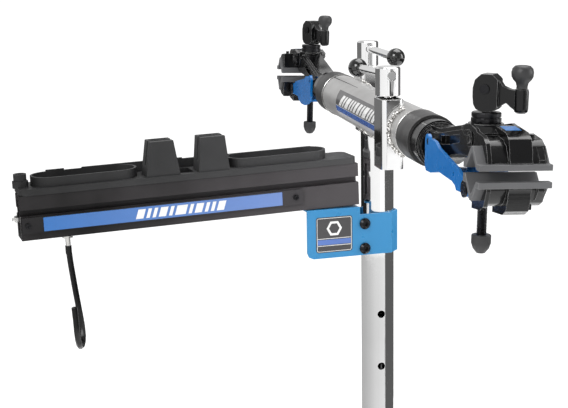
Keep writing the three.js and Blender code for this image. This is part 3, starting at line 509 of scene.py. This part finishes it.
def rod_threads():
    """A helical ridge along the plain lower stretch of each clamp rod."""
    pitch, steps = 1.75, 20
    root, crest = 5.55, 6.15
    low, high = -80.0, -22.0
    half = 0.48 * pitch
    turns = (high - low) / pitch
    for side in SIDES:
        form = bmesh.new()
        rows = []
        for i in range(int(turns * steps) + 1):
            angle = 2 * math.pi * i / steps
            z = low + pitch * i / steps
            row = []
            for r, lift in ((root, -half), (crest, 0.0), (root, half)):
                row.append(form.verts.new((r * math.cos(angle), -ROD_OUT + r * math.sin(angle), z + lift)))
            rows.append(row)
        for a, b in zip(rows, rows[1:]):
            form.faces.new((a[0], b[0], b[1], a[1]))
            form.faces.new((a[1], b[1], b[2], a[2]))
            form.faces.new((a[2], b[2], b[0], a[0]))
        form.faces.new(rows[0])
        form.faces.new(rows[-1][::-1])
        piece(f"{side}_rod_thread", form, "black_steel", f"{side}_rod", clamp_frame(side))


# ---------------------------------------------------------------- printed bands and labels


PRINT_START, PRINT_END = 140.0, -158.0      # the bands' ends along the tube
PRINT_LIFT = 0.02
BAR_LIFT = 0.16
BANDS = (("charcoal", INK_DARK, 140.0, 182.5), ("blue", INK_BLUE, 184.0, 199.0),
         ("pale", INK_PALE, 199.0, 212.0))  # name, ink, lowest and highest angle round the tube
BAR_ANGLES = (180.0, 150.0)
BAR_WIDTHS = (15.0, 9.0, 21.0, 9.0, 9.0, 15.0)
BAR_START, BAR_STOP, BAR_GAP, BAR_SLANT = 118.0, -120.0, 7.0, 20.0


def tube_bands():
    """Charcoal, blue and pale bands on the tube's tray side."""
    count = 30
    edge = [PRINT_START + (PRINT_END - PRINT_START) * i / count for i in range(count + 1)]
    for name, ink, low, high in BANDS:
        form = bmesh.new()
        add_wrap(form, TUBE_R + PRINT_LIFT, [(low, y) for y in edge], [(high, y) for y in edge])
        piece(f"tube_band_{name}", form, "tube_grey", "mast", axis_frame(), ink)


def tube_bars():
    """Plain slanted bars in the charcoal band, and the thin line below it."""
    form = bmesh.new()
    ends = (PRINT_START, PRINT_END)
    add_wrap(form, TUBE_R + PRINT_LIFT, [(182.6, y) for y in ends], [(183.9, y) for y in ends], 3)
    low, high = BAR_ANGLES
    y, i = BAR_START, 0
    while y > BAR_STOP:
        width = BAR_WIDTHS[i % len(BAR_WIDTHS)]
        lower = [(low, y), (low, y - width)]
        upper = [(high, y - BAR_SLANT), (high, y - BAR_SLANT - width)]
        add_wrap(form, TUBE_R + BAR_LIFT, lower, upper, 8)
        y -= width + BAR_GAP
        i += 1
    piece("tube_band_bars", form, "tube_grey", "mast", axis_frame(), INK_WHITE)


def tube_slit_shade():
    """A painted shade line that stands in for the slit along the top of the tube; it narrows towards the
    housing.
    """
    form = bmesh.new()
    angle, length, count = 112.0, 172.0, 20
    line = [(TUBE_HALF - length * i / count, 3.4 * (1 - 0.7 * i / count)) for i in range(count + 1)]
    add_wrap(form, TUBE_R + PRINT_LIFT, [(angle, y) for y, _ in line], [(angle + w, y) for y, w in line], 3)
    piece("tube_slit_shade_line", form, "tube_grey", "mast", axis_frame(), SLIT_SHADE_BLACK)


LABEL_SKIN = 0.3                    # thickness of a label, and of the ink on it
INK_SKIN = 0.15
STRIP_FACE = -28.38
STRIP_BAR_WIDTHS = (11.0, 5.0, 5.0, 11.0, 5.0, 16.0, 5.0, 11.0, 5.0, 5.0, 11.0)


def strip_label():
    """Blue label in the carrier's recess, with a block of plain slanted bars."""
    top = STRIP_FACE - LABEL_SKIN
    form = bmesh.new()
    add_slab(form, rounded(-482.4, -124.2, 11.9, 32.1, 0.8), top, STRIP_FACE)
    piece("strip_label_blue", form, "strip_black", "tray_arm", beam_frame(), LABEL_BLUE)
    form = bmesh.new()
    x, low, high, slant = -349.0, 15.2, 28.8, 4.6
    for width in STRIP_BAR_WIDTHS:
        bar = [(x, low), (x + width, low), (x + width + slant, high), (x + slant, high)]
        add_slab(form, bar, top - INK_SKIN, top)
        x += width + 4.3
    piece("strip_label_bars", form, "strip_black", "tray_arm", beam_frame(), INK_WHITE)


def hexagon(x, z, radius):
    angles = [math.radians(60 * i) for i in range(6)]
    return [(x + radius * math.cos(a), z + radius * math.sin(a)) for a in angles]


def bracket_label():
    """Dark square with a hexagon outline over a blue stripe between thin pale lines."""
    left, right, low, high = -112.0, -53.0, -206.0, -151.0
    inset, stripe_low, stripe_high, line = 2.5, -194.0, -186.0, 0.8
    back = PLATE_FRONT - 0.02
    top = back - 0.25
    ink_top = top - INK_SKIN

    def stripe(form, z0, z1):
        x0, x1 = left + inset, right - inset
        add_slab(form, [(x0, z0), (x1, z0), (x1, z1), (x0, z1)], ink_top, top)

    form = bmesh.new()
    add_slab(form, rounded(left, right, low, high, 4.0), top, back)
    piece("bracket_label_dark", form, "blue_paint", "tray_arm", tray_frame(), INK_DARK)
    form = bmesh.new()
    stripe(form, stripe_low, stripe_high)
    piece("bracket_label_blue", form, "blue_paint", "tray_arm", tray_frame(), INK_BLUE)
    form = bmesh.new()
    for z in (stripe_high + 1.2, stripe_low - 1.8):
        stripe(form, z, z + line)
    border = [rounded(left + d, right - d, low + d, high - d, r) for d, r in ((1.4, 3.0), (2.1, 2.4))]
    add_ring(form, *border, ink_top, top)
    middle = (left + right) / 2, -169.0
    add_ring(form, hexagon(*middle, 12.5), hexagon(*middle, 8.6), ink_top, top)
    piece("bracket_label_lines", form, "blue_paint", "tray_arm", tray_frame(), INK_WHITE)


def bushing_rims():
    """The bright machined line on each bushing's edge beside the tube."""
    count = 64
    y = -TUBE_HALF - 0.9
    path = []
    for i in range(count + 1):
        angle = 2 * math.pi * i / count
        path.append(Vector((BUSH_R * math.cos(angle), y, BUSH_R * math.sin(angle))))
    for side in SIDES:
        form = bmesh.new()
        add_tube(form, path, lambda i: 0.55, 6)
        piece(f"{side}_bushing_rim", form, "zinc", "mast", axis_frame(side))


def crown_label():
    """A small plain blue label lying on the sloping top of each upper jaw's saddle."""
    slope = ((322.0, 54.28), (344.0, 52.40))
    corners = [(x, -reach, z) for reach, z in slope for x in (2.0, 20.0)]
    for side in SIDES:
        form = bmesh.new()
        low = [form.verts.new(corner) for corner in corners]
        high = [form.verts.new((x, y, z + LABEL_SKIN)) for x, y, z in corners]
        for loop in (low, high):
            form.faces.new((loop[0], loop[1], loop[3], loop[2]))
        for i, j in ((0, 1), (1, 3), (3, 2), (2, 0)):
            form.faces.new((low[i], low[j], high[j], high[i]))
        piece(f"{side}_crown_label", form, "blue_paint", f"{side}_clamp", clamp_frame(side), LINK_BLUE)


housing_welds()
post_weld()
bushing_rims()
crown_label()
rod_threads()
tube_bands()
tube_bars()
tube_slit_shade()
strip_label()
bracket_label()

# ---------------------------------------------------------------- studio

CAMERA_PLACE = Vector((-0.5168, -2.0942, 1.7509))
CAMERA_AZIMUTH = math.radians(-10.0)
CAMERA_ELEVATION = math.radians(10.95)
CAMERA_ROLL = math.radians(-0.87)
SENSOR = 36.0
LENS = 89.176


def make_camera():
    camera = bpy.data.objects.new("camera", bpy.data.cameras.new("camera"))
    bpy.context.scene.collection.objects.link(camera)
    forward = -Vector((math.sin(CAMERA_AZIMUTH) * math.cos(CAMERA_ELEVATION),
                       -math.cos(CAMERA_AZIMUTH) * math.cos(CAMERA_ELEVATION),
                       math.sin(CAMERA_ELEVATION)))
    level = forward.cross(Vector((0, 0, 1))).normalized()
    rise = level.cross(forward)
    right = math.cos(CAMERA_ROLL) * level + math.sin(CAMERA_ROLL) * rise
    up = math.cos(CAMERA_ROLL) * rise - math.sin(CAMERA_ROLL) * level
    turn = Matrix((right, up, -forward)).transposed().to_4x4()
    camera.matrix_world = Matrix.Translation(CAMERA_PLACE) @ turn
    camera.data.sensor_width = SENSOR
    camera.data.lens = LENS
    camera.data.clip_end = 200.0
    bpy.context.scene.camera = camera


def area_light(name, place, aim, size, power):
    data = bpy.data.lights.new(name, "AREA")
    data.shape = "RECTANGLE"
    data.size, data.size_y = size
    data.energy = power
    light = bpy.data.objects.new(name, data)
    bpy.context.scene.collection.objects.link(light)
    light.location = place
    light.rotation_mode = "QUATERNION"
    light.rotation_quaternion = (Vector(aim) - Vector(place)).to_track_quat("-Z", "Y")


FLOOR_RADIUS = 60.0
FLOOR_GLOW = 0.42
SKY_LEVEL = 0.80


def make_floor():
    mesh = bpy.data.meshes.new("floor")
    form = bmesh.new()
    bmesh.ops.create_circle(form, cap_ends=True, segments=96, radius=FLOOR_RADIUS)
    form.to_mesh(mesh)
    form.free()
    floor = bpy.data.objects.new("floor", mesh)
    bpy.context.scene.collection.objects.link(floor)
    s = Surface("pale_floor")
    s.colour(s.mixed(s.spread(s.noise(0.6), 0.0, 1.0), (0.86, 0.86, 0.86), (0.88, 0.88, 0.88)))
    s.rough(s.spread(s.noise(3.0), 0.75, 0.85))
    s.shader.inputs["Emission Color"].default_value = (1.0, 1.0, 1.0, 1.0)
    s.shader.inputs["Emission Strength"].default_value = FLOOR_GLOW
    mesh.materials.append(s.material)


def make_world():
    world = bpy.data.worlds.new("studio")
    bpy.context.scene.world = world
    world.use_nodes = True
    sky = world.node_tree.nodes["Background"]
    sky.inputs["Color"].default_value = (1.0, 1.0, 1.0, 1.0)
    sky.inputs["Strength"].default_value = SKY_LEVEL


CARD_STEP = 3.0                     # degrees
CEILING_LEVEL = 0.50
CEILING_HEIGHT = 4.8
CEILING_RADIUS = 9.0


def level_at(stops, bearing):
    """The light level at a bearing, between the stops on each side of it."""
    for (b0, l0), (b1, l1) in zip(stops, stops[1:]):
        if bearing <= b1:
            return l0 + (l1 - l0) * (bearing - b0) / (b1 - b0)
    return stops[-1][1]


def glow_material(name):
    """Gives out the light level stored on the card's points."""
    material = bpy.data.materials.new(name)
    material.use_nodes = True
    tree = material.node_tree
    tree.nodes.clear()
    level = tree.nodes.new("ShaderNodeAttribute")
    level.attribute_name = "level"
    glow = tree.nodes.new("ShaderNodeEmission")
    tree.links.new(level.outputs["Color"], glow.inputs["Color"])
    tree.links.new(glow.outputs["Emission"], tree.nodes.new("ShaderNodeOutputMaterial").inputs["Surface"])
    return material


def stage_card(name, form, point_levels):
    """Makes a card that only reflections see, with the light that each of its points gives out."""
    mesh = bpy.data.meshes.new(name)
    form.to_mesh(mesh)
    form.free()
    levels = mesh.color_attributes.new("level", "FLOAT_COLOR", "POINT")
    for i, level in enumerate(point_levels):
        levels.data[i].color = (level, level, level, 1.0)
    obj = bpy.data.objects.new(name, mesh)
    bpy.context.scene.collection.objects.link(obj)
    mesh.materials.append(glow_material(name))
    obj.visible_camera = False
    obj.visible_diffuse = False
    obj.visible_shadow = False


def card(name, stops, radius, low, high):
    """A curved card round the post. Stops are (bearing in degrees from -Y towards +X, light level)."""
    first, last = stops[0][0], stops[-1][0]
    form = bmesh.new()
    count = int((last - first) / CARD_STEP)
    rows = []
    point_levels = []
    for i in range(count + 1):
        bearing = first + (last - first) * i / count
        a = math.radians(bearing)
        x, y = radius * math.sin(a), -radius * math.cos(a)
        rows.append((form.verts.new((x, y, low)), form.verts.new((x, y, high))))
        point_levels += [level_at(stops, bearing)] * 2
    for a, b in zip(rows, rows[1:]):
        form.faces.new((a[0], b[0], b[1], a[1]))
    stage_card(name, form, point_levels)


def ceiling():
    form = bmesh.new()
    bmesh.ops.create_circle(form, cap_ends=True, segments=48, radius=CEILING_RADIUS)
    bmesh.ops.translate(form, verts=form.verts, vec=(0, 0, CEILING_HEIGHT))
    stage_card("ceiling", form, [CEILING_LEVEL] * len(form.verts))


def make_cards():
    """Soft boxes and flags round the stand: the bands that chrome and black gloss show."""
    top, flags = CEILING_HEIGHT, 3.8
    card("low_ring", [(-194, 0.42), (-88, 0.54), (-25, 0.72), (41, 0.82)], 2.0, 0.0, 0.80)
    card("flag_left_low", [(-194, 0.016), (-88, 0.016)], flags, 0.42, 0.92)
    card("flag_left_high", [(-194, 0.17), (-88, 0.17)], flags, 0.92, 1.45)
    card("box_back", [(-214, 0.70), (-120, 0.80), (-88, 0.60)], 3.9, 1.45, top)
    card("box_front", [(-88, 0.95), (5, 1.05)], 4.0, 0.42, 3.0)
    card("flag_front_low", [(5, 0.0), (36, 0.0)], flags, 0.915, 1.10)
    card("flag_front_high", [(5, 0.40), (36, 0.40)], flags, 1.10, top)
    card("box_right", [(36, 1.0), (92, 1.0)], 4.0, 1.05, 3.0)
    card("flag_right", [(41, 0.11), (150, 0.11)], 2.1, 0.0, 1.08)
    card("flag_back", [(92, 0.14), (146, 0.14)], 4.2, 1.0, top)
    card("flag_behind", [(146, 0.04), (200, 0.04)], 3.0, 0.0, 0.90)
    ceiling()


def make_lights():
    area_light("key", (-2.2, -2.4, 3.6), (0, 0, 1.35), (1.6, 1.6), 60)
    area_light("top", (0.6, 0.4, 4.2), (0, 0, 1.3), (2.4, 2.4), 70)
    area_light("side", (3.0, -1.0, 2.2), (0, 0, 1.4), (0.8, 2.2), 30)


make_camera()
make_floor()
make_world()
make_cards()
make_lights()
bpy.context.scene.view_settings.view_transform = "Standard"
